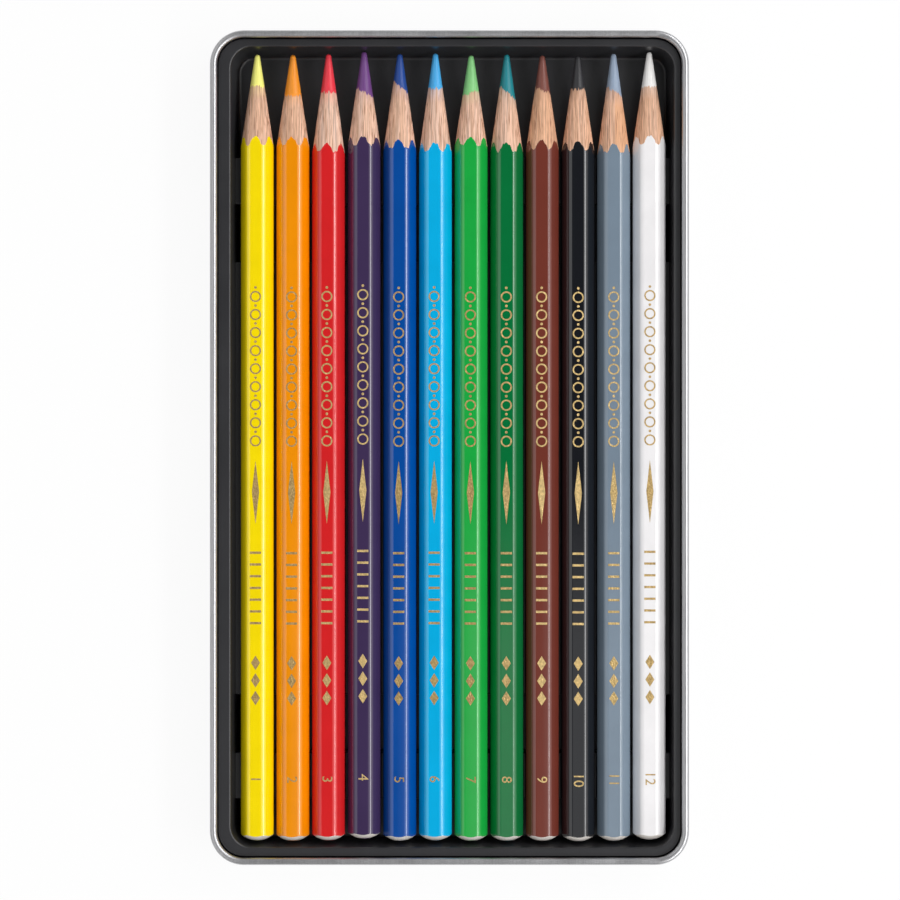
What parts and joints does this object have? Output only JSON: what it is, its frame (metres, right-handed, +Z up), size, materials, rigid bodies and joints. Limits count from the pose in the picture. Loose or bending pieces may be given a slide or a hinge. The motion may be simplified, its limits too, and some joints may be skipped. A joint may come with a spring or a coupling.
{
  "type": "watercolour pencil set",
  "caption": "Flat open metal tin with a curled rim and a black formed liner, holding a row of sharpened hexagonal coloured pencils that lift out of their channels.",
  "frame": {"origin": "middle of the tin's underside", "axes": "+X across the row of pencils, from yellow to white; +Y along the pencils, towards their points; +Z up"},
  "size_m": [0.1058, 0.1844, 0.0119],
  "materials": {
    "tin_steel": "bright rolled",
    "liner_black": "satin",
    "pencil_wood": "bare, cut",
    "yellow_lead": "waxy",
    "yellow_lacquer": "high gloss",
    "orange_lead": "waxy",
    "orange_lacquer": "high gloss",
    "red_lead": "waxy",
    "red_lacquer": "high gloss",
    "violet_lead": "waxy",
    "violet_lacquer": "high gloss",
    "dark_blue_lead": "waxy",
    "dark_blue_lacquer": "high gloss",
    "light_blue_lead": "waxy",
    "light_blue_lacquer": "high gloss",
    "light_green_lead": "waxy",
    "light_green_lacquer": "high gloss",
    "dark_green_lead": "waxy",
    "dark_green_lacquer": "high gloss",
    "brown_lead": "waxy",
    "brown_lacquer": "high gloss",
    "black_lead": "waxy",
    "black_lacquer": "high gloss",
    "grey_lead": "waxy",
    "grey_lacquer": "high gloss",
    "white_lead": "waxy",
    "white_lacquer": "high gloss"
  },
  "bodies": {
    "tin": {"tin_base": "tin_steel"},
    "liner": {"liner_tray": "liner_black"},
    "yellow_pencil": {"yellow_lead": "yellow_lead", "yellow_upper_slat": "pencil_wood", "yellow_lower_slat": "pencil_wood", "yellow_lacquer": "yellow_lacquer"},
    "orange_pencil": {"orange_lead": "orange_lead", "orange_upper_slat": "pencil_wood", "orange_lower_slat": "pencil_wood", "orange_lacquer": "orange_lacquer"},
    "red_pencil": {"red_lead": "red_lead", "red_upper_slat": "pencil_wood", "red_lower_slat": "pencil_wood", "red_lacquer": "red_lacquer"},
    "violet_pencil": {"violet_lead": "violet_lead", "violet_upper_slat": "pencil_wood", "violet_lower_slat": "pencil_wood", "violet_lacquer": "violet_lacquer"},
    "dark_blue_pencil": {"dark_blue_lead": "dark_blue_lead", "dark_blue_upper_slat": "pencil_wood", "dark_blue_lower_slat": "pencil_wood", "dark_blue_lacquer": "dark_blue_lacquer"},
    "light_blue_pencil": {"light_blue_lead": "light_blue_lead", "light_blue_upper_slat": "pencil_wood", "light_blue_lower_slat": "pencil_wood", "light_blue_lacquer": "light_blue_lacquer"},
    "light_green_pencil": {"light_green_lead": "light_green_lead", "light_green_upper_slat": "pencil_wood", "light_green_lower_slat": "pencil_wood", "light_green_lacquer": "light_green_lacquer"},
    "dark_green_pencil": {"dark_green_lead": "dark_green_lead", "dark_green_upper_slat": "pencil_wood", "dark_green_lower_slat": "pencil_wood", "dark_green_lacquer": "dark_green_lacquer"},
    "brown_pencil": {"brown_lead": "brown_lead", "brown_upper_slat": "pencil_wood", "brown_lower_slat": "pencil_wood", "brown_lacquer": "brown_lacquer"},
    "black_pencil": {"black_lead": "black_lead", "black_upper_slat": "pencil_wood", "black_lower_slat": "pencil_wood", "black_lacquer": "black_lacquer"},
    "grey_pencil": {"grey_lead": "grey_lead", "grey_upper_slat": "pencil_wood", "grey_lower_slat": "pencil_wood", "grey_lacquer": "grey_lacquer"},
    "white_pencil": {"white_lead": "white_lead", "white_upper_slat": "pencil_wood", "white_lower_slat": "pencil_wood", "white_lacquer": "white_lacquer"}
  },
  "joints": [
    {"name": "liner_lift", "type": "slide", "parent": "tin", "child": "liner", "axis": [0, 0, 1], "range_m": [0, 0.03]},
    {"name": "yellow_lift", "type": "slide", "parent": "liner", "child": "yellow_pencil", "axis": [0, 0, 1], "range_m": [0, 0.03]},
    {"name": "orange_lift", "type": "slide", "parent": "liner", "child": "orange_pencil", "axis": [0, 0, 1], "range_m": [0, 0.03]},
    {"name": "red_lift", "type": "slide", "parent": "liner", "child": "red_pencil", "axis": [0, 0, 1], "range_m": [0, 0.03]},
    {"name": "violet_lift", "type": "slide", "parent": "liner", "child": "violet_pencil", "axis": [0, 0, 1], "range_m": [0, 0.03]},
    {"name": "dark_blue_lift", "type": "slide", "parent": "liner", "child": "dark_blue_pencil", "axis": [0, 0, 1], "range_m": [0, 0.03]},
    {"name": "light_blue_lift", "type": "slide", "parent": "liner", "child": "light_blue_pencil", "axis": [0, 0, 1], "range_m": [0, 0.03]},
    {"name": "light_green_lift", "type": "slide", "parent": "liner", "child": "light_green_pencil", "axis": [0, 0, 1], "range_m": [0, 0.03]},
    {"name": "dark_green_lift", "type": "slide", "parent": "liner", "child": "dark_green_pencil", "axis": [0, 0, 1], "range_m": [0, 0.03]},
    {"name": "brown_lift", "type": "slide", "parent": "liner", "child": "brown_pencil", "axis": [0, 0, 1], "range_m": [0, 0.03]},
    {"name": "black_lift", "type": "slide", "parent": "liner", "child": "black_pencil", "axis": [0, 0, 1], "range_m": [0, 0.03]},
    {"name": "grey_lift", "type": "slide", "parent": "liner", "child": "grey_pencil", "axis": [0, 0, 1], "range_m": [0, 0.03]},
    {"name": "white_lift", "type": "slide", "parent": "liner", "child": "white_pencil", "axis": [0, 0, 1], "range_m": [0, 0.03]}
  ]
}
